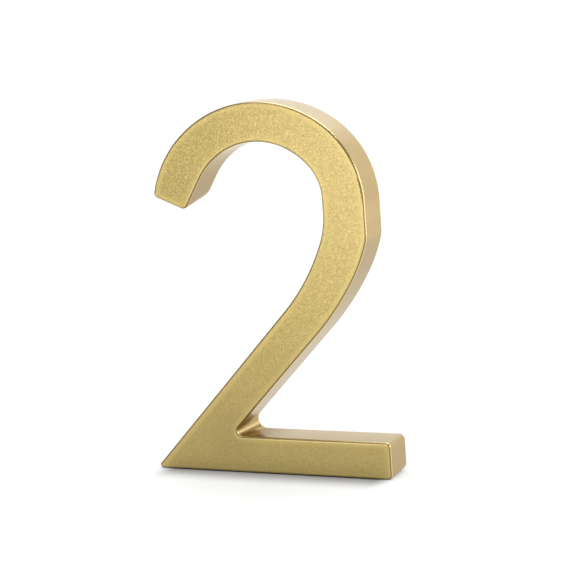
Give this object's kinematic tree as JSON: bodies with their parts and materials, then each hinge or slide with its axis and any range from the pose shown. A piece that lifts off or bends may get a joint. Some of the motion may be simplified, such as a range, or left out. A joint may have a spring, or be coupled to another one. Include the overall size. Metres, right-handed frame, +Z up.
{
  "type": "house number",
  "caption": "Standing numeral two for a door or house wall: thick cast strokes with softly rounded edges, satin gold paint and hidden stud fixing.",
  "frame": {"origin": "middle of the bar's underside, on the surface that the numeral stands on", "axes": "+Z up the numeral, -Y out of its face towards the reader, +Y into the wall, +X to the reader's right"},
  "size_m": [0.0702, 0.011, 0.1016],
  "materials": {
    "gold_paint": "satin metallic gold paint with a fine sparkle"
  },
  "bodies": {
    "root": {"numeral": "gold_paint"}
  },
  "joints": []
}
